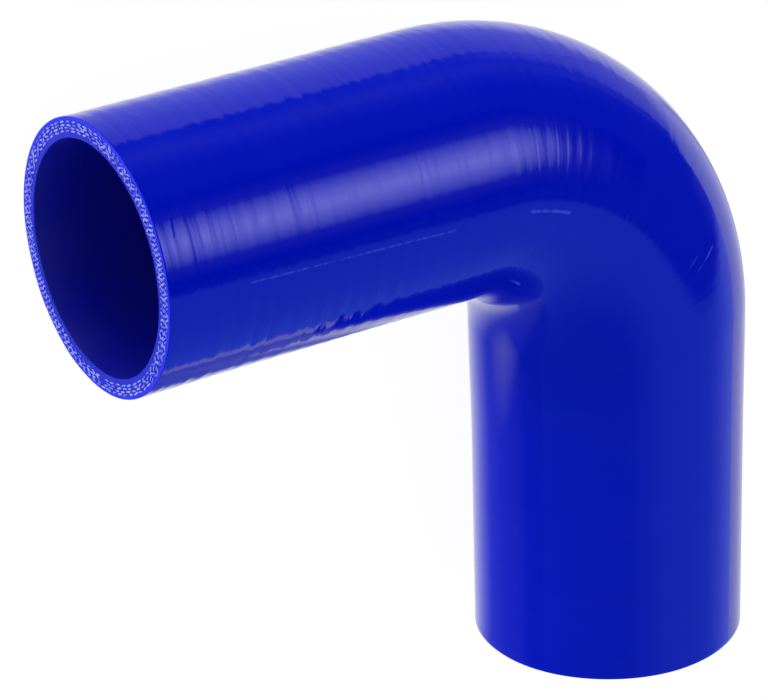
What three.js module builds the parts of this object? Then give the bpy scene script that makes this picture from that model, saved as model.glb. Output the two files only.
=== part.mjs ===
// A reinforced silicone elbow hose: two straight legs joined by a tight 90 degree bend, one bonded piece.
// It joins two pipe ends of slightly different size, so its bore narrows through the bend.
// All lengths are in millimetres, and +Z is up. The hose lies on its side, as it comes to rest when it is put down,
// with the large leg along +Y and the small leg along +X.
import * as THREE from "three";

// Driving dimensions
const LARGE_BORE = 60; // inner diameter of the large leg
const SMALL_BORE = 57; // inner diameter of the small leg
const WALL = 5; // wall thickness of the legs: four fabric plies between a cover and a liner
const LARGE_LEG = 141; // from the large end's cut face to the point where the two legs' axes cross
const SMALL_LEG = 146.5; // the same for the small leg
const BEND_RADIUS = 52.5; // radius of the centreline in the bend
const BEND_ANGLE = 90; // degrees that the centreline turns through
const BEND_SWELL = 0.3; // extra wall in the bend, where the wrapped plies can't lie as tight as on a straight
const PLY_GATHER = 0.2; // wall that the plies gain on the inside of the bend and lose on its outside
const SWELL_RUN_OUT = 36; // length of leg over which the swell of the bend dies out
const EDGE_CHAMFER = 0.25; // width of the broken edges on the knife-cut ends, inside and outside

// Fineness of the surface
const SECTION_SIDES = 64; // a multiple of four, so that a corner lies at each quarter turn
const BEND_STEPS = 24;
const RUN_OUT_STEPS = 4;

const bendAngle = THREE.MathUtils.degToRad(BEND_ANGLE);
const tangentLength = BEND_RADIUS * Math.tan(bendAngle / 2);
const bendStart = LARGE_LEG - tangentLength;
const bendEnd = bendStart + BEND_RADIUS * bendAngle;
const hoseLength = bendEnd + SMALL_LEG - tangentLength;

// The centreline lies in the plane Z = 0, and the two legs' axes cross at the origin.
// Distances along it count from the large end's cut face.
class ElbowCentreline extends THREE.Curve {
  turnAt(distance) {
    return THREE.MathUtils.clamp((distance - bendStart) / BEND_RADIUS, 0, bendAngle);
  }

  directionAt(distance) {
    const turn = this.turnAt(distance);
    return new THREE.Vector3(Math.sin(turn), -Math.cos(turn), 0);
  }

  // The direction towards the centre of the bend.
  inwardAt(distance) {
    const turn = this.turnAt(distance);
    return new THREE.Vector3(Math.cos(turn), Math.sin(turn), 0);
  }

  pointAt(distance) {
    const bendCentre = new THREE.Vector3(BEND_RADIUS, tangentLength, 0);
    const alongLeg = Math.min(distance - bendStart, 0) + Math.max(distance - bendEnd, 0);
    return bendCentre
      .addScaledVector(this.inwardAt(distance), -BEND_RADIUS)
      .addScaledVector(this.directionAt(distance), alongLeg);
  }

  getPoint(share, target = new THREE.Vector3()) {
    return target.copy(this.pointAt(share * hoseLength));
  }
}

const centreline = new ElbowCentreline();
const sideways = new THREE.Vector3(0, 0, 1);

// The bore narrows smoothly over the bend, and it is a true cylinder in both legs.
function boreRadiusAt(distance) {
  const narrowing = THREE.MathUtils.smoothstep(distance, bendStart, bendEnd);
  return THREE.MathUtils.lerp(LARGE_BORE, SMALL_BORE, narrowing) / 2;
}

// How much of the bend's swell is left: all of it in the bend, and none past the run-out on either leg.
function swellAt(distance) {
  const pastBend = Math.max(bendStart - distance, distance - bendEnd, 0);
  return 1 - THREE.MathUtils.smoothstep(pastBend, 0, SWELL_RUN_OUT);
}

function wallAt(distance, towardsInside) {
  return WALL + swellAt(distance) * (BEND_SWELL + PLY_GATHER * towardsInside);
}

// One closed ring of points round the centreline. The last argument says how far out from the bore it runs.
function ring(distance, offsetFromBore) {
  const centre = centreline.pointAt(distance);
  const inward = centreline.inwardAt(distance);
  return Array.from({ length: SECTION_SIDES }, (_, side) => {
    const angle = (2 * Math.PI * side) / SECTION_SIDES;
    const radius = boreRadiusAt(distance) + offsetFromBore(distance, Math.cos(angle));
    return centre
      .clone()
      .addScaledVector(inward, radius * Math.cos(angle))
      .addScaledVector(sideways, radius * Math.sin(angle));
  });
}

// Joins each ring to the next, and the last ring to the first, into one closed skin.
function loft(rings) {
  const corner = (row, side) => (row % rings.length) * SECTION_SIDES + (side % SECTION_SIDES);
  const faces = rings.flatMap((_, row) =>
    Array.from({ length: SECTION_SIDES }, (_, side) => {
      const [a, b] = [corner(row, side), corner(row, side + 1)];
      const [c, d] = [corner(row + 1, side + 1), corner(row + 1, side)];
      return [a, b, c, a, c, d];
    }),
  );
  const geometry = new THREE.BufferGeometry().setFromPoints(rings.flat());
  geometry.setIndex(faces.flat(2));
  geometry.computeVertexNormals();
  return geometry;
}

// The distances at which the wall has a ring: by both ends, along both run-outs, and at every step of the bend.
function wallStations() {
  const evenly = (from, to, steps) =>
    Array.from({ length: steps }, (_, step) => THREE.MathUtils.lerp(from, to, step / steps));
  return [
    EDGE_CHAMFER,
    ...evenly(bendStart - SWELL_RUN_OUT, bendStart, RUN_OUT_STEPS),
    ...evenly(bendStart, bendEnd, BEND_STEPS),
    ...evenly(bendEnd, bendEnd + SWELL_RUN_OUT, RUN_OUT_STEPS),
    bendEnd + SWELL_RUN_OUT,
    hoseLength - EDGE_CHAMFER,
  ];
}

// The whole wall as one loop of rings: along the cover, over the small end's cut face,
// back through the bore, and over the large end's cut face.
function hoseGeometry() {
  const bore = () => 0;
  const boreEdge = () => EDGE_CHAMFER;
  const coverEdge = () => WALL - EDGE_CHAMFER;
  const stations = wallStations();
  return loft([
    ring(0, coverEdge),
    ...stations.map((distance) => ring(distance, wallAt)),
    ring(hoseLength, coverEdge),
    ring(hoseLength, boreEdge),
    ...stations.toReversed().map((distance) => ring(distance, bore)),
    ring(0, boreEdge),
  ]);
}

function siliconeRubber() {
  return new THREE.MeshStandardMaterial({ color: 0x0a1cc0, roughness: 0.25, metalness: 0 });
}

function elbowHose() {
  const hose = new THREE.Mesh(hoseGeometry(), siliconeRubber());
  hose.name = "elbow_hose";
  return hose;
}

// The part's own origin is on the floor, under the middle of its bounding box.
const part = new THREE.Group();
part.add(elbowHose());
const extent = new THREE.Box3().setFromObject(part, true);
const middle = extent.getCenter(new THREE.Vector3());
part.position.set(-middle.x, -middle.y, -extent.min.z);

export default part;
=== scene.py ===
# %% [markdown]
# # A silicone elbow hose
# The object is a hose for an engine bay: two straight legs joined by a tight right-angle bend. It is laid
# up by hand on a steel former from a liner, four fabric plies and a glossy cover, wrapped in tape, and cured
# into one piece. What makes it look real is small: the ring-wise marks that the wrapping tape leaves in the
# gloss, and the white yarn ends of the plies in the knife-cut ends.
#
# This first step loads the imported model, which is the fixed frame for everything that follows. The sizes
# that its box can't give are written here once, and the box gives the rest.

# %% The fixed frame
import math
import random

import bpy
import numpy as np
from mathutils import Matrix, Vector


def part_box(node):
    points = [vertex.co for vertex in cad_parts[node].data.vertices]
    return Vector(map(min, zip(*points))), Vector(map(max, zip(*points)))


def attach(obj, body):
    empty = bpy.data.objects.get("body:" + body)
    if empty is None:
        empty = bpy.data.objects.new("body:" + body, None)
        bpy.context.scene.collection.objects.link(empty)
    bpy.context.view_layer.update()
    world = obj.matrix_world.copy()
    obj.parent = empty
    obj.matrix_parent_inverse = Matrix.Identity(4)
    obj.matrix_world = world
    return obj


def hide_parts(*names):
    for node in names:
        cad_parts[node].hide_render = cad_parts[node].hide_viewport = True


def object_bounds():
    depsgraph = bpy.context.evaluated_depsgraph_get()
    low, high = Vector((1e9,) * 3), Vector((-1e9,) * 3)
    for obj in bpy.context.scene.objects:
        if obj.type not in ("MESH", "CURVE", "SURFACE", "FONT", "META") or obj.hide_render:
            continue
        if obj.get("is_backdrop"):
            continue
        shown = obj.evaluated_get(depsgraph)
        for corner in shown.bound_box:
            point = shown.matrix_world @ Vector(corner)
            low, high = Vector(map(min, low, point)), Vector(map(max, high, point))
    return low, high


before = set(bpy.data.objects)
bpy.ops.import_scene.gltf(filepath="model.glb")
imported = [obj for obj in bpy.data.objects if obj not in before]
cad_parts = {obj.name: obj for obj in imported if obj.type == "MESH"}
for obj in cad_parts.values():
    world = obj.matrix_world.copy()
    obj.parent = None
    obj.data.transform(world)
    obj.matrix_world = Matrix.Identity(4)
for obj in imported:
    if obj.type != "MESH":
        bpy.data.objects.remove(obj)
cad_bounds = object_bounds()
low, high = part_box("elbow_hose")
print("packed hose:", [round(1000 * side, 1) for side in high - low], "mm")

# %% Driving dimensions, in metres
LARGE_BORE = 0.060
SMALL_BORE = 0.057
WALL = 0.005
BEND_RADIUS = 0.0525
BEND_SWELL = 0.0003
PLY_GATHER = 0.0002
SWELL_RUN_OUT = 0.036
EDGE_BREAK = 0.0002

large_outer = LARGE_BORE / 2 + WALL
small_outer = SMALL_BORE / 2 + WALL
outside_swell = BEND_SWELL - PLY_GATHER
crossing = Vector(
    (low.x + large_outer + outside_swell, low.y + small_outer + outside_swell, (low.z + high.z) / 2)
)
bend_centre = crossing + Vector((BEND_RADIUS, BEND_RADIUS, 0))
bend_start = high.y - bend_centre.y
bend_end = bend_start + BEND_RADIUS * math.pi / 2
hose_length = bend_end + high.x - bend_centre.x
large_end_centre = Vector((crossing.x, high.y, crossing.z))
small_end_centre = Vector((high.x, crossing.y, crossing.z))
print("the legs' axes cross at", [round(1000 * place, 1) for place in crossing], "mm")
print("length along the centreline:", round(1000 * hose_length, 1), "mm")

# %% [markdown]
# ## The camera
# The photograph looks along a long lens at a hose whose large leg points down the picture. A real hose would
# topple in that stance, so this one lies on its side, and the camera takes the photograph's view of it
# instead: it looks down from the side and is rolled about its own line of sight. Rolling the camera keeps
# the object in its frame, which turning the object would not.

# %% Camera
LENS_MM = 175.13
CAMERA_DISTANCE = 0.9141
CAMERA_AZIMUTH = 49.73
CAMERA_ELEVATION = 49.43
CAMERA_ROLL = 121.06
CLIP_START = 0.01
LOOKED_AT = Vector((0.01231, -0.00871, 0.0353))


def photo_camera():
    turned = Matrix.Rotation(math.radians(CAMERA_AZIMUTH), 3, "Z")
    tilted = Matrix.Rotation(math.radians(90 - CAMERA_ELEVATION), 3, "X")
    rolled = Matrix.Rotation(math.radians(CAMERA_ROLL), 3, "Z")
    rotation = turned @ tilted @ rolled
    place = LOOKED_AT + CAMERA_DISTANCE * rotation.col[2]
    bpy.ops.object.camera_add(location=place, rotation=rotation.to_euler())
    camera = bpy.context.object
    camera.name = "photo_camera"
    camera.data.lens = LENS_MM
    camera.data.clip_start = CLIP_START
    return camera


bpy.context.scene.camera = photo_camera()
print("camera at", [round(place, 3) for place in bpy.context.scene.camera.location])

# %% [markdown]
# ## The wall as one swept ring
# A sweep could be a curve with a round bevel, or a script that writes every vertex. A modeller would rather
# draw one ring and walk it once round the whole wall, as a drawing describes an elbow. The ring starts at
# the bore's rim on the large end. It widens across the cut face, runs down the cover of the large leg, spins
# round the bend's centre and runs along the small leg. Then it narrows across the other cut face and comes
# back through the bore, where it meets its own start. The cover gets close rings, because tape marks are
# raised in it, and the bore gets few.

# %% Small helpers for operators
def deselect_all():
    bpy.ops.object.select_all(action="DESELECT")


def activate(piece):
    deselect_all()
    piece.select_set(True)
    bpy.context.view_layer.objects.active = piece


def triangles(piece):
    return sum(len(face.vertices) - 2 for face in piece.data.polygons)


# %% Steps of the walk
RING_SIDES = 192
FACE_RINGS = 10


def cross_a_cut_face(centre, from_radius, to_radius):
    """Extrudes the selected ring across a cut face, to a ring of another radius."""
    widening = to_radius - from_radius
    radii = [from_radius + widening * ring / FACE_RINGS for ring in range(FACE_RINGS + 1)]
    for before, after in zip(radii, radii[1:]):
        bpy.ops.mesh.extrude_region_move()
        bpy.ops.transform.resize(value=3 * (after / before,), center_override=centre)


def run_straight(direction, length, step):
    steps = round(length / step)
    bpy.ops.mesh.extrude_repeat(steps=steps, offset=Vector(direction) * length / steps)


def run_round_the_bend(direction, step):
    steps = round(BEND_RADIUS * math.pi / 2 / step)
    bpy.ops.mesh.spin(steps=steps, angle=direction * math.pi / 2, center=bend_centre, axis=(0, 0, 1))


# %% Walk the ring round the wall
COVER_STEP_LARGE_LEG = 0.0009
COVER_STEP = 0.0005
BORE_STEP = 0.012
BORE_STEP_BEND = 0.0034
MERGE_DISTANCE = 0.00002
small_leg_run = hose_length - bend_end


def swept_wall():
    deselect_all()
    bpy.ops.mesh.primitive_circle_add(
        vertices=RING_SIDES, radius=LARGE_BORE / 2, location=large_end_centre, rotation=(math.pi / 2, 0, 0)
    )
    wall = bpy.context.object
    wall.name = "hose_wall"
    bpy.ops.object.transform_apply(location=True, rotation=True, scale=True)
    bpy.ops.object.mode_set(mode="EDIT")
    bpy.ops.mesh.select_all(action="SELECT")
    cross_a_cut_face(large_end_centre, LARGE_BORE / 2, large_outer)
    run_straight((0, -1, 0), bend_start, COVER_STEP_LARGE_LEG)
    run_round_the_bend(-1, COVER_STEP)
    run_straight((1, 0, 0), small_leg_run, COVER_STEP)
    cross_a_cut_face(small_end_centre, large_outer, LARGE_BORE / 2)
    run_straight((-1, 0, 0), small_leg_run, BORE_STEP)
    run_round_the_bend(1, BORE_STEP_BEND)
    run_straight((0, 1, 0), bend_start, BORE_STEP)
    bpy.ops.mesh.select_all(action="SELECT")
    bpy.ops.mesh.remove_doubles(threshold=MERGE_DISTANCE)
    bpy.ops.mesh.normals_make_consistent(inside=False)
    bpy.ops.object.mode_set(mode="OBJECT")
    return wall


hose = swept_wall()
print("swept wall:", triangles(hose), "triangles")

# %% [markdown]
# ## The elbow's own coordinates
# The wall is still a plain tube of one radius. Everything that shapes it, such as the narrowing bore, the
# swell of the bend and the tape marks, is said along the hose and round it. So each vertex is first measured
# in the elbow's own terms: how far along the centreline it is, at which angle round it, and how deep in the
# wall.

# %% Measure every vertex along and round the centreline
def smooth(share):
    share = np.clip(share, 0, 1)
    return share * share * (3 - 2 * share)


def elbow_coordinates(points):
    """Distance along the centreline, angle round it and distance from it. Angle zero faces the crook."""
    x, y, z = (points - np.array(bend_centre)).T
    turn = np.arctan2(-y, -x)
    in_bend = (x <= 0) & (y <= 0)
    past_large_leg = np.where(x > 0, bend_end + x, bend_start + BEND_RADIUS * turn)
    along = np.where(y > 0, bend_start - y, past_large_leg)
    inwards = np.where(in_bend, BEND_RADIUS - np.hypot(x, y), np.where(y > 0, x, y) + BEND_RADIUS)
    return along, np.arctan2(z, inwards), np.hypot(inwards, z)


def place_from(along, angle, radius):
    """The point that has these elbow coordinates."""
    turn = np.clip((along - bend_start) / BEND_RADIUS, 0, math.pi / 2)
    inwards = radius * np.cos(angle) - BEND_RADIUS
    run = np.minimum(along - bend_start, 0) + np.maximum(along - bend_end, 0)
    x = inwards * np.cos(turn) + run * np.sin(turn)
    y = inwards * np.sin(turn) - run * np.cos(turn)
    return np.column_stack((x, y, radius * np.sin(angle))) + np.array(bend_centre)


def vertex_places(piece):
    flat = np.empty(3 * len(piece.data.vertices))
    piece.data.vertices.foreach_get("co", flat)
    return flat.reshape(-1, 3)


along, angle, radius = elbow_coordinates(vertex_places(hose))
error = np.abs(place_from(along, angle, radius) - vertex_places(hose)).max()
print("largest error of the elbow coordinates:", round(1e6 * float(error), 2), "micrometres")

# %% [markdown]
# ## Crisp rims
# A knife leaves a crisp corner and not a mathematical one. Light always catches such a rim, so the four of
# them get a bevel of a fifth of a millimetre. Their edges are found by their place: both of their ends lie
# on a cut face, and at the radius of the bore or of the cover.

# %% Break the four rims
NEAR = 1e-5


def select_edges_between(piece, chosen):
    """Selects each edge whose two ends are both chosen vertices."""
    corners = np.empty(2 * len(piece.data.edges), dtype=np.int64)
    piece.data.edges.foreach_get("vertices", corners)
    bpy.ops.object.mode_set(mode="EDIT")
    bpy.ops.mesh.select_mode(type="EDGE")
    bpy.ops.mesh.select_all(action="DESELECT")
    bpy.ops.object.mode_set(mode="OBJECT")
    piece.data.edges.foreach_set("select", chosen[corners.reshape(-1, 2)].all(axis=1))


on_an_end = (along < NEAR) | (along > hose_length - NEAR)
on_a_rim = on_an_end & ((radius < LARGE_BORE / 2 + NEAR) | (radius > large_outer - NEAR))
activate(hose)
select_edges_between(hose, on_a_rim)
bpy.ops.object.mode_set(mode="EDIT")
bpy.ops.mesh.bevel(offset=EDGE_BREAK, segments=2, affect="EDGES")
bpy.ops.object.mode_set(mode="OBJECT")
along, angle, radius = elbow_coordinates(vertex_places(hose))
wall_depth = (radius - LARGE_BORE / 2) / WALL
print("with its rims broken:", triangles(hose), "triangles")

# %% [markdown]
# ## Bore, swell and tape marks
# The bore narrows through the bend, and the wall is a little thicker there, most of all on the inside, where
# the plies gather. Over that go the marks of the wrapping tape, which pulls the hose tight on its former
# while it cures. It goes on as a helix, about five millimetres a turn on the legs and tighter at the bend.
# Each turn presses a shallow arched band, higher or lower as the tension of the hand varied. A displacement
# texture could do this, but moving the vertices by a formula keeps one band next to the other all along the
# helix.

# %% Random unevenness
KNOT_ROWS = 2048


def uneven(place, spacing, seed, turn_share=0.0, patches_round=1):
    """Smooth random values from -1 to 1, with a knot for each spacing along and each patch round the hose."""
    knots = np.random.default_rng(seed).uniform(-1, 1, (KNOT_ROWS, patches_round))
    row = place / spacing
    column = turn_share * patches_round
    row_share = smooth(row - np.floor(row))
    column_share = smooth(column - np.floor(column))
    low_row = np.floor(row).astype(int)
    low_column = np.floor(column).astype(int)

    def knot(down, right):
        return knots[(low_row + down) % KNOT_ROWS, (low_column + right) % patches_round]

    near = knot(0, 0) * (1 - column_share) + knot(0, 1) * column_share
    far = knot(1, 0) * (1 - column_share) + knot(1, 1) * column_share
    return near * (1 - row_share) + far * row_share


# %% How the tape lies
LEG_TAPE_PITCH = 0.0054
BEND_TAPE_PITCH = 0.0026
TAPE_PITCH_BLEND = 0.030
PITCH_SPREAD = 0.22
PITCH_SPACING = 0.007
COUNT_WANDER = 0.08
COUNT_SPACING = 0.02
COUNT_PATCHES = 5
TAPE_STATIONS = 1200


def past_the_bend(along):
    return np.maximum(np.maximum(bend_start - along, along - bend_end), 0)


def at_the_bend(along):
    """One in the bend, falling to zero over a stretch of leg on both sides."""
    return 1 - smooth(past_the_bend(along) / TAPE_PITCH_BLEND)


def tape_count(along, turn_share):
    """How many turns of tape have passed, before the helix adds its share of a turn."""
    stations = np.linspace(0, hose_length, TAPE_STATIONS)
    pitch = LEG_TAPE_PITCH + (BEND_TAPE_PITCH - LEG_TAPE_PITCH) * at_the_bend(stations)
    pitch = pitch * (1 + PITCH_SPREAD * uneven(stations, PITCH_SPACING, seed=3))
    turns = np.concatenate(([0], np.cumsum((stations[1] - stations[0]) / pitch[:-1])))
    wander = uneven(along, COUNT_SPACING, 4, turn_share, COUNT_PATCHES)
    return np.interp(along, stations, turns) + COUNT_WANDER * wander


turn_share = angle / (2 * math.pi)
turns = tape_count(along, turn_share)
print("turns of tape:", round(float(turns.max()), 1))

# %% Where the tape bit
LARGE_LEG_SHARE = 0.12
BITES_FROM = 0.112
BITES_OVER = 0.050
CROOK_SHARE = 0.15
CROOK_EDGE_COSINE = -0.1
CROOK_FULL_COSINE = 0.8


def in_the_crook(along, angle):
    """One on the inside of the bend, falling to zero a little past its sides and along the legs."""
    into_crook = (np.cos(angle) - CROOK_EDGE_COSINE) / (CROOK_FULL_COSINE - CROOK_EDGE_COSINE)
    return at_the_bend(along) * smooth(into_crook)


def tape_strength(along, angle):
    """The tape bit into the small leg and the end of the bend, and hardly into the rest and the crook."""
    on_small_leg = LARGE_LEG_SHARE + (1 - LARGE_LEG_SHARE) * smooth((along - BITES_FROM) / BITES_OVER)
    return on_small_leg * (1 - (1 - CROOK_SHARE) * in_the_crook(along, angle))


strength = tape_strength(along, angle)
print("the tape bit least at", round(float(strength.min()), 2), "of its full strength")

# %% Heights of the marks
BAND_HEIGHT = 0.000036
BAND_UNEVENNESS = 0.000026
BAND_LENGTH = 1 / 14
BAND_AT_BEND = 0.6
RIDGE_HEIGHT = 0.000026
RIDGE_SPACING = 0.0015
RIDGE_PATCHES = 9
WAVE_HEIGHT = 0.00005
WAVE_SPACING = 0.017
WAVE_PATCHES = 7
END_DIP = 0.00005
END_DIP_PLACE = hose_length - 0.0041
END_DIP_WIDTH = 0.0008
END_DIP_SPACING = 0.1
END_DIP_PATCHES = 9


def tape_bands(along, turn_share, turns):
    helix = turns + turn_share
    along_tape = turn_share - np.floor(helix)
    band = BAND_HEIGHT + BAND_UNEVENNESS * uneven(along_tape, BAND_LENGTH, seed=5)
    band = band * (1 + (BAND_AT_BEND - 1) * at_the_bend(along))
    return band * (1 - np.cos(2 * math.pi * helix)) / 2


def end_dip(along, turn_share):
    """The groove that the last turn of tape pressed near the small end, deeper in some places."""
    dip = END_DIP * np.exp(-(((along - END_DIP_PLACE) / END_DIP_WIDTH) ** 2))
    return dip * (1 + uneven(along, END_DIP_SPACING, 9, turn_share, END_DIP_PATCHES)) / 2


def tape_relief(along, turn_share, turns):
    ridges = RIDGE_HEIGHT * uneven(along, RIDGE_SPACING, 6, turn_share, RIDGE_PATCHES)
    waves = WAVE_HEIGHT * uneven(along, WAVE_SPACING, 7, turn_share, WAVE_PATCHES)
    return tape_bands(along, turn_share, turns) + ridges + waves - end_dip(along, turn_share)


relief = strength * tape_relief(along, turn_share, turns)
print("tape marks from", round(1e6 * float(relief.min())), "micrometres")
print("to", round(1e6 * float(relief.max())), "micrometres")

# %% Shape the wall
FACE_WANDER = 0.00006
FACE_SPACING = 0.3
FACE_PATCHES = 26


def bore_radius(along):
    narrowing = smooth((along - bend_start) / (bend_end - bend_start))
    return (LARGE_BORE + (SMALL_BORE - LARGE_BORE) * narrowing) / 2


def wall_thickness(along, angle):
    swell = 1 - smooth(past_the_bend(along) / SWELL_RUN_OUT)
    return WALL + swell * (BEND_SWELL + PLY_GATHER * np.cos(angle))


def cut_face_wander(along, turn_share, wall_depth):
    """A knife drawn round by hand wanders, and goes a little deeper here and there."""
    on_small_end = along > hose_length - EDGE_BREAK
    on_large_end = along < EDGE_BREAK
    wander = FACE_WANDER * (uneven(wall_depth, FACE_SPACING, 8, turn_share, FACE_PATCHES) - 1)
    return np.where(on_small_end, wander, 0) - np.where(on_large_end, wander, 0)


cover_height = wall_thickness(along, angle) + relief - relief.mean()
shaped_radius = bore_radius(along) + wall_depth * cover_height
shaped = place_from(along + cut_face_wander(along, turn_share, wall_depth), angle, shaped_radius)
hose.data.vertices.foreach_set("co", shaped.ravel())
hose.data.update()
print("wall shaped, lowest point at", round(1000 * float(shaped[:, 2].min()), 2), "mm")

# %% [markdown]
# ## Coordinates for the finish
# A texture in plain object coordinates would cut through the bend like a saw through a log. The tape marks
# run round the hose, so the mesh carries attributes for its materials: the place round and along the hose in
# metres, the count of tape turns and how hard they bit, the nearness to the crook, and the depth in the
# wall. They change smoothly from vertex to vertex, so no pattern tears anywhere.

# %% Store the attributes and smooth the shading
SHARP_ANGLE = 50


def store(piece, name, values):
    kind, field = ("FLOAT_VECTOR", "vector") if values.ndim == 2 else ("FLOAT", "value")
    attribute = piece.data.attributes.new(name, kind, "POINT")
    attribute.data.foreach_set(field, values.astype(np.float32).ravel())


round_and_along = np.column_stack((large_outer * np.cos(angle), large_outer * np.sin(angle), along))
store(hose, "round_and_along", round_and_along)
store(hose, "tape_turns", turns)
store(hose, "tape_strength", strength)
# The nearness to the crook also sets where the cover's blue is painted deeper, as painted shade.
store(hose, "crook", in_the_crook(along, angle))
store(hose, "wall_depth", wall_depth)
activate(hose)
bpy.ops.object.shade_smooth_by_angle(angle=math.radians(SHARP_ANGLE))
print("attributes:", [attribute.name for attribute in hose.data.attributes][-6:])

# %% [markdown]
# ## Nodes in a few words
# A material is a graph, and a graph is easier to read when each node takes one line. These helpers add a
# node, set its settings, and plug in a number or another node's output. A socket is named by its label, or
# by its number where several have the same one.

# %% Node helpers
def plug(material, node, name, value):
    socket = node.inputs[int(name[1:])] if name[1:].isdigit() else node.inputs[name]
    if isinstance(value, bpy.types.NodeSocket):
        material.node_tree.links.new(value, socket)
    else:
        socket.default_value = value


def add_node(material, kind, settings=None, **inputs):
    node = material.node_tree.nodes.new(kind)
    for name, value in (settings or {}).items():
        setattr(node, name, value)
    for name, value in inputs.items():
        plug(material, node, name.replace("_", " "), value)
    return node


def maths(material, operation, first, second=0.0, third=0.0):
    settings = {"operation": operation}
    return add_node(material, "ShaderNodeMath", settings, s0=first, s1=second, s2=third).outputs[0]


def vector_maths(material, operation, first, second=(0, 0, 0)):
    settings = {"operation": operation}
    return add_node(material, "ShaderNodeVectorMath", settings, s0=first, s1=second).outputs


def separated(material, vector):
    return add_node(material, "ShaderNodeSeparateXYZ", s0=vector).outputs


def in_degrees(material, radians):
    return maths(material, "MULTIPLY", radians, 180 / math.pi)


def spread(material, value, from_min, from_max, to_min, to_max):
    """Takes a value from one range to another, with soft ends."""
    node = add_node(material, "ShaderNodeMapRange", {"interpolation_type": "SMOOTHSTEP"}, s0=value)
    for number, limit in enumerate((from_min, from_max, to_min, to_max), start=1):
        node.inputs[number].default_value = limit
    return node.outputs[0]


# %% Helpers for noise, colour and relief
EVEN_SPREAD = (0.3, 0.7)
PATCHY_SPREAD = (0.38, 0.62)


def grain(material, place, lengths, detail=2.0):
    """Noise whose grain is as long in each direction as lengths says, in metres."""
    scaled = vector_maths(material, "MULTIPLY", place, tuple(1 / length for length in lengths))[0]
    return add_node(material, "ShaderNodeTexNoise", Vector=scaled, Scale=1.0, Detail=detail).outputs["Fac"]


def mixed(material, share, first, second):
    """A colour between two, in the share that another output gives."""
    settings = {"data_type": "RGBA"}
    return add_node(material, "ShaderNodeMix", settings, s0=share, s6=first, s7=second).outputs[2]


def attribute(material, name, output="Fac"):
    return add_node(material, "ShaderNodeAttribute", {"attribute_name": name}).outputs[output]


def object_place(material):
    return add_node(material, "ShaderNodeTexCoord").outputs["Object"]


def bumped(material, height_mm):
    """Turns a height in millimetres into a bent normal."""
    bump = add_node(material, "ShaderNodeBump", Height=height_mm, Distance=0.001, Strength=1.0)
    return bump.outputs["Normal"]


def fresh_material(name):
    material = bpy.data.materials.new(name)
    material.use_nodes = True
    return material, material.node_tree.nodes["Principled BSDF"]


# %% [markdown]
# ## The glossy cover
# Silicone rubber is a clear gum full of pigment, so its colour is deep and its skin reflects like a lacquer.
# The cover is a saturated blue with a fairly sharp gloss, and in the crook its blue is painted deeper as
# painted shade. The mesh already has the bands of the tape. The material adds what is finer than the mesh:
# the groove where two turns of tape overlap, hair-fine ridges round the hose that come and go, and a faint
# orange peel. It also has the marks of making and handling. A seam line runs along the small leg, and there
# are a few scratches, a nick and a crease. Where such a mark stands proud, its colour is painted paler, a
# painted highlight along the ridge.

# %% Fine relief of the cover, in millimetres
OVERLAP_STEP = 0.006
OVERLAP_FLOOR = 0.04
OVERLAP_RIM = 0.15
OVERLAP_PATCHES = (0.014, 0.014, 0.004)
FINE_RIDGE = 0.060
RIDGE_GRAIN = (0.020, 0.020, 0.0012)


def angle_round(material, place):
    parts = separated(material, place)
    return maths(material, "ARCTAN2", parts["Y"], parts["X"])


def overlap_steps(material, place):
    """A shallow flat-bottomed groove along the edge of each turn of tape, stronger in some places."""
    share_of_turn = maths(material, "MULTIPLY", angle_round(material, place), 1 / (2 * math.pi))
    helix = maths(material, "ADD", share_of_turn, attribute(material, "tape_turns"))
    from_edge = maths(material, "PINGPONG", helix, 0.5)
    groove = spread(material, from_edge, OVERLAP_FLOOR, OVERLAP_RIM, -OVERLAP_STEP, 0.0)
    patches = spread(material, grain(material, place, OVERLAP_PATCHES), *PATCHY_SPREAD, 0.1, 1.0)
    return maths(material, "MULTIPLY", groove, patches)


def tape_texture(material, place):
    ridges = maths(material, "MULTIPLY", grain(material, place, RIDGE_GRAIN, 3.0), FINE_RIDGE)
    steps_and_ridges = maths(material, "ADD", overlap_steps(material, place), ridges)
    return maths(material, "MULTIPLY", steps_and_ridges, attribute(material, "tape_strength"))


# %% Small marks of making and handling
# Each mark has its two ends, its width in metres, and its height in millimetres, below zero for a groove.
def on_the_cover(along_mm, angle_degrees):
    """A spot on the unrolled cover: metres round the hose and metres along it."""
    return Vector((large_outer * math.radians(angle_degrees), along_mm / 1000, 0))


MARKS = {
    "seam line": (on_the_cover(244, 90.3), on_the_cover(187, 87.3), 0.00055, 0.014),
    "seam line, faint": (on_the_cover(186, 87.2), on_the_cover(167, 86.6), 0.00040, 0.004),
    "seam line, thick": (on_the_cover(166, 86.4), on_the_cover(153, 85.3), 0.00075, 0.024),
    "seam line in the bend": (on_the_cover(152, 85.2), on_the_cover(108, 84.6), 0.00080, 0.003),
    "scratch beside the seam": (on_the_cover(136, 93), on_the_cover(134.6, 86), 0.00040, -0.050),
    "scratch on the bend": (on_the_cover(109.5, 114), on_the_cover(108.2, 100), 0.00060, -0.060),
    "second scratch on the bend": (on_the_cover(111.5, 104), on_the_cover(110.5, 97), 0.00050, -0.045),
    "nick at the small end": (on_the_cover(260.4, 125), on_the_cover(261.1, 116), 0.00050, -0.060),
    "crease in the crook": (on_the_cover(163, 49), on_the_cover(154, 44), 0.00080, 0.020),
}
TAPER_STARTS_BEFORE_END = 0.001
TAPER_ENDS_PAST_END = 0.0004
WORN_GRAIN = (0.004, 0.004, 0.0016)
WORN_SPREAD = (0.35, 0.6)
WORN_LEAST = 0.35


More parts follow.
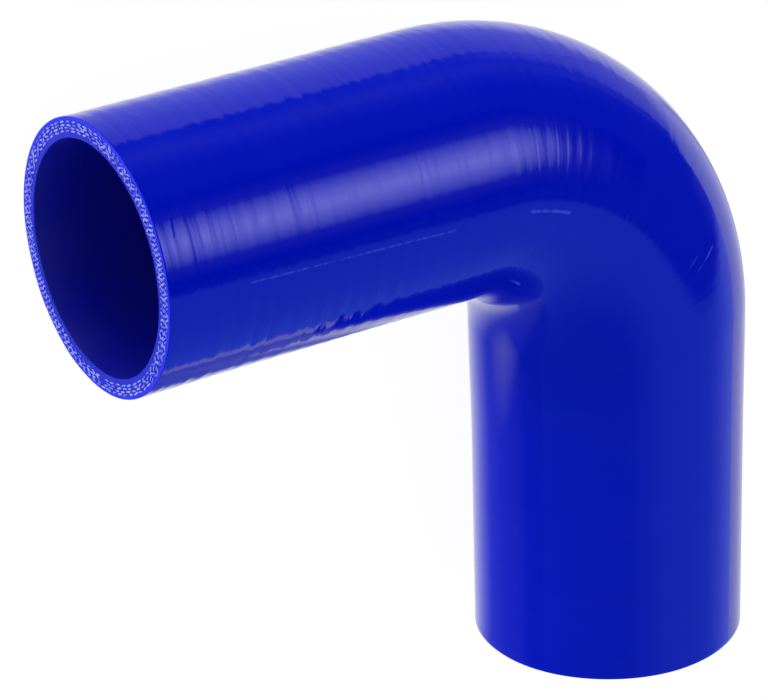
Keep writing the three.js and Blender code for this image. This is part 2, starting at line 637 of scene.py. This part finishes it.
def mark_height(material, unrolled, start, end, width, height_mm):
    """A fine ridge or groove from one spot to another, which tapers off at both of its ends."""
    run = end - start
    onwards = run.normalized()
    sideways = Vector((0, 0, 1)).cross(onwards)
    from_start = vector_maths(material, "SUBTRACT", unrolled, start)[0]
    ahead = vector_maths(material, "DOT_PRODUCT", from_start, onwards)["Value"]
    off_line = vector_maths(material, "DOT_PRODUCT", from_start, sideways)["Value"]
    profile = spread(material, maths(material, "ABSOLUTE", off_line), 0, width, height_mm, 0)
    from_middle = maths(material, "ABSOLUTE", maths(material, "SUBTRACT", ahead, run.length / 2))
    taper_start = run.length / 2 - TAPER_STARTS_BEFORE_END
    taper_end = run.length / 2 + TAPER_ENDS_PAST_END
    return maths(material, "MULTIPLY", profile, spread(material, from_middle, taper_start, taper_end, 1, 0))


def all_marks(material, place):
    """The sum of all marks, worn away in patches."""
    metres_round = maths(material, "MULTIPLY", angle_round(material, place), large_outer)
    metres_along = separated(material, place)["Z"]
    unrolled = add_node(material, "ShaderNodeCombineXYZ", s0=metres_round, s1=metres_along).outputs[0]
    heights = [mark_height(material, unrolled, *mark) for mark in MARKS.values()]
    total = heights[0]
    for height in heights[1:]:
        total = maths(material, "ADD", total, height)
    worn = spread(material, grain(material, place, WORN_GRAIN), *WORN_SPREAD, WORN_LEAST, 1.0)
    return maths(material, "MULTIPLY", total, worn)


print("marks on the cover:", ", ".join(MARKS))

# %% Cover material
COVER_BLUE = (0.0006, 0.0066, 0.485, 1)
COVER_BLUE_DEEP = (0.0005, 0.0056, 0.445, 1)
# Painted shade: the deeper blue of the crook.
CROOK_SHADE_BLUE = (0.0005, 0.0056, 0.42, 1)
# Painted highlight: the paler blue along marks that stand proud.
GLINT_BLUE = (0.032, 0.055, 0.60, 1)
GLINT_HEIGHTS = (0.001, 0.016)
CLOUD_GRAIN = (0.030, 0.030, 0.018)
SMEAR_GRAIN = (0.020, 0.020, 0.0030)
PEEL_GRAIN = (0.0022, 0.0022, 0.0018)
PEEL_HEIGHT = 0.0007
COVER_ROUGHNESS = (0.05, 0.09)
SILICONE_IOR = 1.43


def cover_relief(material, place, marks):
    peel = maths(material, "MULTIPLY", grain(material, place, PEEL_GRAIN), PEEL_HEIGHT)
    tape_and_peel = maths(material, "ADD", tape_texture(material, place), peel)
    return maths(material, "ADD", tape_and_peel, marks)


def cover_material():
    material, rubber = fresh_material("blue_silicone_cover")
    place = attribute(material, "round_and_along", "Vector")
    clouds = grain(material, place, CLOUD_GRAIN, 4.0)
    smears = grain(material, place, SMEAR_GRAIN, 3.0)
    clouded = mixed(material, clouds, COVER_BLUE, COVER_BLUE_DEEP)
    # Painted shade: the blue goes deeper towards the crook.
    painted_crook_shade = mixed(material, attribute(material, "crook"), clouded, CROOK_SHADE_BLUE)
    marks = all_marks(material, place)
    # Marks that stand proud get a painted highlight, a paler blue along the ridge.
    painted_glint = spread(material, marks, *GLINT_HEIGHTS, 0, 1)
    plug(material, rubber, "Base Color", mixed(material, painted_glint, painted_crook_shade, GLINT_BLUE))
    plug(material, rubber, "Roughness", spread(material, smears, *EVEN_SPREAD, *COVER_ROUGHNESS))
    plug(material, rubber, "Normal", bumped(material, cover_relief(material, place, marks)))
    rubber.inputs["IOR"].default_value = SILICONE_IOR
    return material


blue_cover = cover_material()
print(blue_cover.name, "has", len(blue_cover.node_tree.nodes), "nodes")

# %% [markdown]
# ## The liner and the cut faces
# The bore is moulded against the steel former, so it is smooth, with faint lines from pulling the hose off.
# A cut face is dull, because the knife tears the rubber slightly. It is brightest in the cover's rubber and
# darkest over the depth of the plies, where the white of the yarn ends stands out against it. Its blues are
# all painted paler than the same rubbers on the cover and in the bore, as painted light on the ends.

# %% Liner material
LINER_BLUE = (0.0030, 0.0060, 0.34, 1)
LINER_BLUE_DEEP = (0.0026, 0.0050, 0.28, 1)
LINER_ROUGHNESS = (0.30, 0.42)
LINER_CLOUD_GRAIN = (0.015, 0.015, 0.02)
DRAW_LINE_GRAIN = (0.0012, 0.0012, 0.050)
DRAW_LINE_HEIGHT = 0.006


def liner_material():
    material, rubber = fresh_material("smooth_liner")
    place = attribute(material, "round_and_along", "Vector")
    draw_lines = grain(material, place, DRAW_LINE_GRAIN, 3.0)
    clouds = grain(material, place, LINER_CLOUD_GRAIN, 3.0)
    relief = maths(material, "MULTIPLY", draw_lines, DRAW_LINE_HEIGHT)
    plug(material, rubber, "Base Color", mixed(material, clouds, LINER_BLUE, LINER_BLUE_DEEP))
    plug(material, rubber, "Roughness", spread(material, clouds, *EVEN_SPREAD, *LINER_ROUGHNESS))
    plug(material, rubber, "Normal", bumped(material, relief))
    rubber.inputs["IOR"].default_value = SILICONE_IOR
    return material


smooth_liner = liner_material()
print(smooth_liner.name, "has", len(smooth_liner.node_tree.nodes), "nodes")

# %% Cut-face material
# The cut faces' blues are painted paler than the same rubbers elsewhere, as painted light on the ends.
CUT_COVER_LIT = (0.010, 0.022, 0.78, 1)
CUT_PLIES_LIT = (0.008, 0.016, 0.50, 1)
CUT_LINER_LIT = (0.006, 0.016, 0.56, 1)
PLIES_START = 0.22
PLIES_END = 0.80
PLIES_BLUR = 0.05
CUT_ROUGHNESS = (0.5, 0.7)
CUT_GLOSS = 0.12
KNIFE_GRAIN = (0.0030, 0.0030, 0.00020)
KNIFE_HEIGHT = 0.03


def knife_marks(material, depth):
    """Noise drawn out round the cut face, and fine across the wall."""
    place = attribute(material, "round_and_along", "Vector")
    ring_place = vector_maths(material, "MULTIPLY", place, (1, 1, 0))[0]
    metres_deep = maths(material, "MULTIPLY", depth, WALL)
    across = add_node(material, "ShaderNodeCombineXYZ", s2=metres_deep).outputs[0]
    return grain(material, vector_maths(material, "ADD", ring_place, across)[0], KNIFE_GRAIN)


def cut_face_material():
    material, rubber = fresh_material("knife_cut_face")
    depth = attribute(material, "wall_depth")
    in_plies = spread(material, depth, PLIES_START - PLIES_BLUR, PLIES_START + PLIES_BLUR, 0, 1)
    in_cover = spread(material, depth, PLIES_END - PLIES_BLUR, PLIES_END + PLIES_BLUR, 0, 1)
    inner = mixed(material, in_plies, CUT_LINER_LIT, CUT_PLIES_LIT)
    knife = knife_marks(material, depth)
    plug(material, rubber, "Base Color", mixed(material, in_cover, inner, CUT_COVER_LIT))
    plug(material, rubber, "Roughness", spread(material, knife, *EVEN_SPREAD, *CUT_ROUGHNESS))
    plug(material, rubber, "Normal", bumped(material, maths(material, "MULTIPLY", knife, KNIFE_HEIGHT)))
    rubber.inputs["Specular IOR Level"].default_value = CUT_GLOSS
    return material


cut_face = cut_face_material()
print(cut_face.name, "has", len(cut_face.node_tree.nodes), "nodes")

# %% Give each face of the wall its material
COVER_SLOT = 0
LINER_SLOT = 1
CUT_SLOT = 2


def assign_by_place(piece, materials, slot_of_face):
    piece.data.materials.clear()
    for material in materials:
        piece.data.materials.append(material)
    piece.data.polygons.foreach_set("material_index", slot_of_face)
    piece.data.update()


def mean_on_faces(piece, values):
    return np.array([values[list(face.vertices)].mean() for face in piece.data.polygons])


face_depth = mean_on_faces(hose, wall_depth)
face_along = mean_on_faces(hose, along)
is_cut = (face_along < EDGE_BREAK / 2) | (face_along > hose_length - EDGE_BREAK / 2)
slot_of_face = np.where(is_cut, CUT_SLOT, np.where(face_depth < 0.5, LINER_SLOT, COVER_SLOT))
assign_by_place(hose, (blue_cover, smooth_liner, cut_face), slot_of_face)
print("faces of cover, liner and cut:", [int((slot_of_face == slot).sum()) for slot in range(3)])

# %% [markdown]
# ## Yarn ends
# Each ply is a woven polyester fabric, and the knife cuts through its yarns. They show as rows of short
# white lozenges, four rows deep, with a cut nearly every three millimetres along a row. Where the weave
# crosses the cut squarely the rows are neat. Where it crosses on the bias the yarns are closer together, and
# they slant to and fro like a braid. One yarn end is modelled once, as a sphere drawn out to a spindle and
# flattened, and it is copied into its places.

# %% One yarn end
YARN_LENGTH = 0.0023
YARN_WIDTH = 0.00050
YARN_PROUD = 0.00010


def one_yarn_end():
    deselect_all()
    bpy.ops.mesh.primitive_uv_sphere_add(segments=7, ring_count=5, radius=0.5, rotation=(0, math.pi / 2, 0))
    yarn = bpy.context.object
    yarn.name = "yarn_end"
    yarn.scale = (YARN_PROUD * 2, YARN_WIDTH, YARN_LENGTH)
    bpy.ops.object.transform_apply(location=True, rotation=True, scale=True)
    bpy.ops.object.shade_smooth()
    return yarn


yarn = one_yarn_end()
print("a yarn end is", [round(1000 * side, 2) for side in yarn.dimensions], "mm")
print("it has", triangles(yarn), "triangles")

# %% Where the yarns are cut
PLY_DEPTHS = (0.245, 0.39, 0.535, 0.69)
PLY_WANDER = 0.015
WEAVE_PITCH = 0.0028
BIAS_PITCH = 0.0011
PITCH_SHARES = (0.9, 1.1)
BIAS_SLANT = 55
SLANT_SPREAD = 8
SQUARE_ANGLE = math.radians(20)
BIAS_CONTRAST = 1.7
LENGTH_SHARES = (0.75, 1.1)
BIAS_SHORTENING = 0.42


def yarn_places(bore, seed):
    """Radius, angle, slant and length of each yarn end in one cut face."""
    draw = random.Random(seed)
    for ply, depth in enumerate(PLY_DEPTHS):
        radius = bore / 2 + WALL * (1 - depth)
        angle_round = draw.uniform(0, WEAVE_PITCH / radius)
        number = ply
        while angle_round < 2 * math.pi:
            bias = abs(math.sin(angle_round - SQUARE_ANGLE)) ** BIAS_CONTRAST
            pitch = WEAVE_PITCH + (BIAS_PITCH - WEAVE_PITCH) * bias
            way = 1 if number % 2 else -1
            slant = math.radians(way * BIAS_SLANT * bias + draw.uniform(-SLANT_SPREAD, SLANT_SPREAD))
            length_share = draw.uniform(*LENGTH_SHARES) * (1 - BIAS_SHORTENING * bias)
            yield radius + WALL * draw.uniform(-PLY_WANDER, PLY_WANDER), angle_round, slant, length_share
            angle_round += pitch / radius * draw.uniform(*PITCH_SHARES)
            number += 1


# %% Rows of yarn ends in a cut face
X_AXIS = Vector((1, 0, 0))
Y_AXIS = Vector((0, 1, 0))
Z_AXIS = Vector((0, 0, 1))


def yarn_matrix(centre, outwards, inwards, radius, angle_round, slant, length_share):
    """Puts a yarn end on a cut face, at an angle round it, slanted out of the ring's direction."""
    away = inwards * math.cos(angle_round) + Z_AXIS * math.sin(angle_round)
    ringwise = outwards.cross(away)
    lengthwise = ringwise * math.cos(slant) + away * math.sin(slant)
    across = outwards.cross(lengthwise)
    axes = Matrix((lengthwise * length_share, across, outwards)).transposed().to_4x4()
    return Matrix.Translation(centre + away * radius) @ axes


def yarn_rows(name, centre, outwards, inwards, bore, seed):
    copies = []
    for radius, angle_round, slant, length_share in yarn_places(bore, seed):
        place = yarn_matrix(centre, outwards, inwards, radius, angle_round, slant, length_share)
        copy = yarn.copy()
        copy.data = yarn.data.copy()
        copy.data.transform(place)
        bpy.context.collection.objects.link(copy)
        copies.append(copy)
    activate(copies[0])
    for copy in copies:
        copy.select_set(True)
    bpy.ops.object.join()
    copies[0].name = name
    print(name, "has", len(copies), "yarn ends and", triangles(copies[0]), "triangles")
    return copies[0]


small_end_yarns = yarn_rows("small_end_yarns", small_end_centre, X_AXIS, Y_AXIS, SMALL_BORE, seed=21)
large_end_yarns = yarn_rows("large_end_yarns", large_end_centre, Y_AXIS, X_AXIS, LARGE_BORE, seed=22)
bpy.data.objects.remove(yarn)

# %% Yarn material
YARN_WHITE = (0.32, 0.37, 1.0, 1)
YARN_SMEARED = (0.07, 0.095, 0.85, 1)
YARN_ROUGHNESS = (0.5, 0.8)
YARN_SMEAR_GRAIN = (0.0015, 0.0015, 0.0015)
FILAMENT_GRAIN = (0.00012, 0.00012, 0.00012)
FILAMENT_HEIGHT = 0.02


def yarn_material():
    material, fibre = fresh_material("polyester_yarn")
    place = object_place(material)
    smear = spread(material, grain(material, place, YARN_SMEAR_GRAIN), *PATCHY_SPREAD, 0, 1)
    filaments = grain(material, place, FILAMENT_GRAIN, 1.0)
    relief = maths(material, "MULTIPLY", filaments, FILAMENT_HEIGHT)
    plug(material, fibre, "Base Color", mixed(material, smear, YARN_WHITE, YARN_SMEARED))
    plug(material, fibre, "Roughness", spread(material, filaments, *EVEN_SPREAD, *YARN_ROUGHNESS))
    plug(material, fibre, "Normal", bumped(material, relief))
    return material


white_yarn = yarn_material()
for rows in (small_end_yarns, large_end_yarns):
    rows.data.materials.clear()
    rows.data.materials.append(white_yarn)
print(white_yarn.name, "on", small_end_yarns.name, "and", large_end_yarns.name)

# %% [markdown]
# ## Light
# The photograph is a studio shot: one softbox overhead, a dim wall on one side, and a white table in a dark
# room. A gloss shows whatever it faces, so the softbox is a glowing panel that fades towards its edges, and
# the wall is painted on a dome that only the gloss can see. The even light on the colour itself comes from
# the surroundings and the table. The lights lean towards blue, because the photograph's reflections do.

# %% Helpers for glowing surfaces
def glowing_material(name):
    material = bpy.data.materials.new(name)
    material.use_nodes = True
    material.node_tree.nodes.clear()
    return material


def glow(material, colour, strength=1.0):
    return add_node(material, "ShaderNodeEmission", Color=colour, Strength=strength).outputs[0]


def finish_surface(material, surface, kind="ShaderNodeOutputMaterial"):
    material.node_tree.links.new(surface, add_node(material, kind).inputs["Surface"])


def for_rays(material, ray, others, chosen):
    """One shader for the rays of one kind, and another for all others."""
    rays = add_node(material, "ShaderNodeLightPath").outputs
    return add_node(material, "ShaderNodeMixShader", s0=rays[ray], s1=others, s2=chosen).outputs[0]


# %% Softbox
SOFTBOX_COLOUR = (1.0, 1.02, 1.7, 1)
SOFTBOX_AZIMUTH = 215
SOFTBOX_ELEVATION = 54.5
SOFTBOX_DISTANCE = 1.2
SOFTBOX_SIZE = 1.2
SOFTBOX_PEAK = 4.0
SOFTBOX_FALL = 12.5
HALO_LEVEL = 0.25
HALO_FADES = (0.20, 0.55)


def softbox_glow():
    """Brightest in the middle, with a straight fall to a faint wide halo."""
    material = glowing_material("softbox_glow")
    off_middle = vector_maths(material, "LENGTH", object_place(material))["Value"]
    core = maths(material, "MULTIPLY_ADD", off_middle, -SOFTBOX_FALL, SOFTBOX_PEAK)
    halo = spread(material, off_middle, *HALO_FADES, HALO_LEVEL, 0.0)
    level = maths(material, "ADD", maths(material, "MAXIMUM", core, 0), halo)
    finish_surface(material, glow(material, SOFTBOX_COLOUR, level))
    return material


def direction(azimuth, elevation):
    across = math.radians(azimuth)
    up = math.radians(elevation)
    return Vector((math.cos(across) * math.cos(up), math.sin(across) * math.cos(up), math.sin(up)))


def softbox_panel():
    deselect_all()
    towards = direction(SOFTBOX_AZIMUTH, SOFTBOX_ELEVATION)
    place = LOOKED_AT + SOFTBOX_DISTANCE * towards
    facing = towards.to_track_quat("Z", "Y").to_euler()
    bpy.ops.mesh.primitive_plane_add(size=1, location=place, rotation=facing)
    sheet = bpy.context.object
    sheet.name = "softbox"
    sheet.scale = (SOFTBOX_SIZE, SOFTBOX_SIZE, 1)
    sheet.data.materials.append(softbox_glow())
    sheet.visible_camera = False
    sheet.visible_shadow = False
    sheet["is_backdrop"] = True
    return sheet


softbox = softbox_panel()
print("softbox at", [round(place, 2) for place in softbox.location])

# %% The wall round the room, in degrees
# A pair of angles says where a change starts and where it is complete.
WALL_FAR = (0.050, 0.14, 0.75, 1)
WALL_NEAR = (0.165, 0.34, 1.25, 1)
WALL_FOOT = (0.46, 0.60, 1.5, 1)
DARK_ROOM = (0.018, 0.035, 0.12, 1)
ROOM_GLOW = (0.10, 0.14, 0.55, 1)
LEFT_EDGE = (5, 22)
RIGHT_EDGE = (169, 174)
EDGE_LEAN = 0.45
FAR_TO_NEAR = (60, 118)
FOOT_AZIMUTHS = (112, 152)
FOOT_ELEVATIONS = (0, 30)
GLOW_AZIMUTHS = (-172, -125)
GLOW_ELEVATIONS = (-2, 13)


def dome_angles(material):
    """Azimuth and elevation of a spot on the dome, in degrees."""
    place = object_place(material)
    parts = separated(material, place)
    azimuth = maths(material, "ARCTAN2", parts["Y"], parts["X"])
    height = maths(material, "DIVIDE", parts["Z"], vector_maths(material, "LENGTH", place)["Value"])
    elevation = maths(material, "ARCSINE", height)
    return in_degrees(material, azimuth), in_degrees(material, elevation)


def wall_on_the_dome():
    """A wall whose far side is dimmer and whose foot catches light from the table. Its right edge leans."""
    material = glowing_material("dim_wall")
    azimuth, elevation = dome_angles(material)
    leaning_azimuth = maths(material, "MULTIPLY_ADD", elevation, EDGE_LEAN, azimuth)
    right_of_left_edge = spread(material, azimuth, *LEFT_EDGE, 0, 1)
    left_of_right_edge = spread(material, leaning_azimuth, *RIGHT_EDGE, 1, 0)
    on_wall = maths(material, "MULTIPLY", left_of_right_edge, right_of_left_edge)
    low_down = spread(material, elevation, *FOOT_ELEVATIONS, 1, 0)
    foot = maths(material, "MULTIPLY", low_down, spread(material, azimuth, *FOOT_AZIMUTHS, 0, 1))
    wall = mixed(material, spread(material, azimuth, *FAR_TO_NEAR, 0, 1), WALL_FAR, WALL_NEAR)
    near_floor = spread(material, elevation, *GLOW_ELEVATIONS, 1, 0)
    glowing = maths(material, "MULTIPLY", near_floor, spread(material, azimuth, *GLOW_AZIMUTHS, 0, 1))
    room = mixed(material, glowing, DARK_ROOM, ROOM_GLOW)
    colour = mixed(material, on_wall, room, mixed(material, foot, wall, WALL_FOOT))
    finish_surface(material, glow(material, colour))
    return material


# %% Dome, seen only in the gloss
DOME_RADIUS = 1.5


def dome():
    deselect_all()
    bpy.ops.mesh.primitive_uv_sphere_add(segments=64, ring_count=32, radius=DOME_RADIUS, location=LOOKED_AT)
    shell = bpy.context.object
    shell.name = "room"
    shell.data.materials.append(wall_on_the_dome())
    shell.data.materials[0].cycles.emission_sampling = "NONE"
    shell.visible_camera = False
    shell.visible_diffuse = False
    shell.visible_shadow = False
    shell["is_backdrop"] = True
    return shell


room = dome()
print("room:", room.name, "with", room.data.materials[0].name)

# %% [markdown]
# ## Table and surroundings
# The table is white to the camera and keeps a soft shadow. In the gloss it isn't evenly white: patches
# of light are painted on it round the hose, with painted shade between them that falls off into the dark
# room. Light paths tell the rays apart.

# %% Painted patches of light on the table
# Each patch has its level, its reach in X and in Y, and the blur of its edges, in metres. An edge that is
# far off isn't drawn.
# The gloss sees the table painted in these two colours: dark, and lit where a patch lies.
TABLE_PAINTED_SHADE = (0.03, 0.08, 0.45, 1)
TABLE_PAINTED_LIGHT = (1.0, 1.0, 0.95, 1)
FAR_OFF = 9.0
PAINTED_TABLE_PATCHES = {
    "beside the bend": (0.84, (-FAR_OFF, -0.135), (-0.085, FAR_OFF), 0.03),
    "behind the bend": (0.42, (-0.50, -0.095), (-0.22, FAR_OFF), 0.08),
    "under the large leg": (1.15, (-0.13, -0.014), (-0.10, 0.11), 0.018),
    "in front of the large leg": (0.24, (-0.13, 0.015), (-0.03, FAR_OFF), 0.035),
    "in the crook": (1.30, (0.010, 0.095), (-0.03, 0.040), 0.022),
    "behind the small leg": (0.50, (-0.14, 0.16), (-0.178, -0.05), 0.009),
    "along the small leg": (0.95, (-0.16, 0.12), (-0.094, -0.05), 0.012),
    "far behind": (0.12, (-FAR_OFF, FAR_OFF), (-FAR_OFF, -0.27), 0.09),
    "right of the hose": (0.13, (-FAR_OFF, 0.075), (-0.03, FAR_OFF), 0.05),
}


def painted_patch_of_light(material, parts, level, reach_x, reach_y, blur):
    """A painted rectangle of light with blurred edges."""
    total = level
    for place, (start, end) in zip((parts["X"], parts["Y"]), (reach_x, reach_y)):
        for edge, way in ((start, 1), (end, -1)):
            if abs(edge) < FAR_OFF:
                inside = spread(material, place, edge - blur, edge + blur, (1 - way) / 2, (1 + way) / 2)
                total = maths(material, "MULTIPLY", inside, total)
    return total


def painted_table_in_the_gloss(material):
    parts = separated(material, object_place(material))
    patches = [painted_patch_of_light(material, parts, *patch) for patch in PAINTED_TABLE_PATCHES.values()]
    brightest = patches[0]
    for patch in patches[1:]:
        brightest = maths(material, "MAXIMUM", brightest, patch)
    return mixed(material, brightest, TABLE_PAINTED_SHADE, TABLE_PAINTED_LIGHT)


print("table patches:", ", ".join(PAINTED_TABLE_PATCHES))

# %% Table
TABLE_SIZE = 8
TABLE_GAP = 0.0001
SEEN_GLOW = 0.96
SEEN_MATTE = 0.09
BOUNCE_GLOW = 1.4
BOUNCE_MATTE = 0.45


def grey(level):
    return (level, level, level, 1)


def glow_and_matte(material, glow_level, matte_level):
    """A surface that gives light of its own, and still takes a shadow on its matte share."""
    matte = add_node(material, "ShaderNodeBsdfDiffuse", Color=grey(matte_level)).outputs[0]
    own_light = glow(material, grey(glow_level))
    return add_node(material, "ShaderNodeAddShader", s0=own_light, s1=matte).outputs[0]


def table_material():
    material = glowing_material("white_table")
    seen = glow_and_matte(material, SEEN_GLOW, SEEN_MATTE)
    bounce = glow_and_matte(material, BOUNCE_GLOW, BOUNCE_MATTE)
    seen_or_bounce = for_rays(material, "Is Camera Ray", bounce, seen)
    # What the gloss sees on the table is painted light and shade, which no lamp makes.
    painted_patches = glow(material, painted_table_in_the_gloss(material))
    finish_surface(material, for_rays(material, "Is Glossy Ray", seen_or_bounce, painted_patches))
    material.cycles.emission_sampling = "NONE"
    return material


def white_table():
    deselect_all()
    bpy.ops.mesh.primitive_plane_add(size=TABLE_SIZE, location=(0, 0, low.z - TABLE_GAP))
    table = bpy.context.object
    table.name = "table"
    table.data.materials.append(table_material())
    table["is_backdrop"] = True
    return table


table = white_table()
print("table:", table.name, "at", round(1000 * table.location.z, 2), "mm")

# %% Surroundings
FILL_LEVEL = 0.77
WHITE_LEVEL = 1.0


def even_light(world, level):
    return add_node(world, "ShaderNodeBackground", Color=grey(1), Strength=level).outputs[0]


def surroundings():
    world = bpy.data.worlds.new("studio")
    world.use_nodes = True
    world.node_tree.nodes.clear()
    seen = for_rays(world, "Is Camera Ray", even_light(world, FILL_LEVEL), even_light(world, WHITE_LEVEL))
    finish_surface(world, seen, "ShaderNodeOutputWorld")
    world.cycles.sampling_method = "NONE"
    bpy.context.scene.world = world


surroundings()
bpy.context.scene.view_settings.view_transform = "Standard"
print("fill level:", FILL_LEVEL)

# %% [markdown]
# ## Hand the pieces to the frame
# The wall stands for the imported solid, and the yarn ends ride with it. The boxes of the imported and the
# finished model are shown side by side.

# %% Ride, replace and finish
for piece in (hose, small_end_yarns, large_end_yarns):
    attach(piece, "root")
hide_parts("elbow_hose")

boxes = {"cad": cad_bounds, "visual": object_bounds()}
{name: [list(corner) for corner in box] for name, box in boxes.items()}
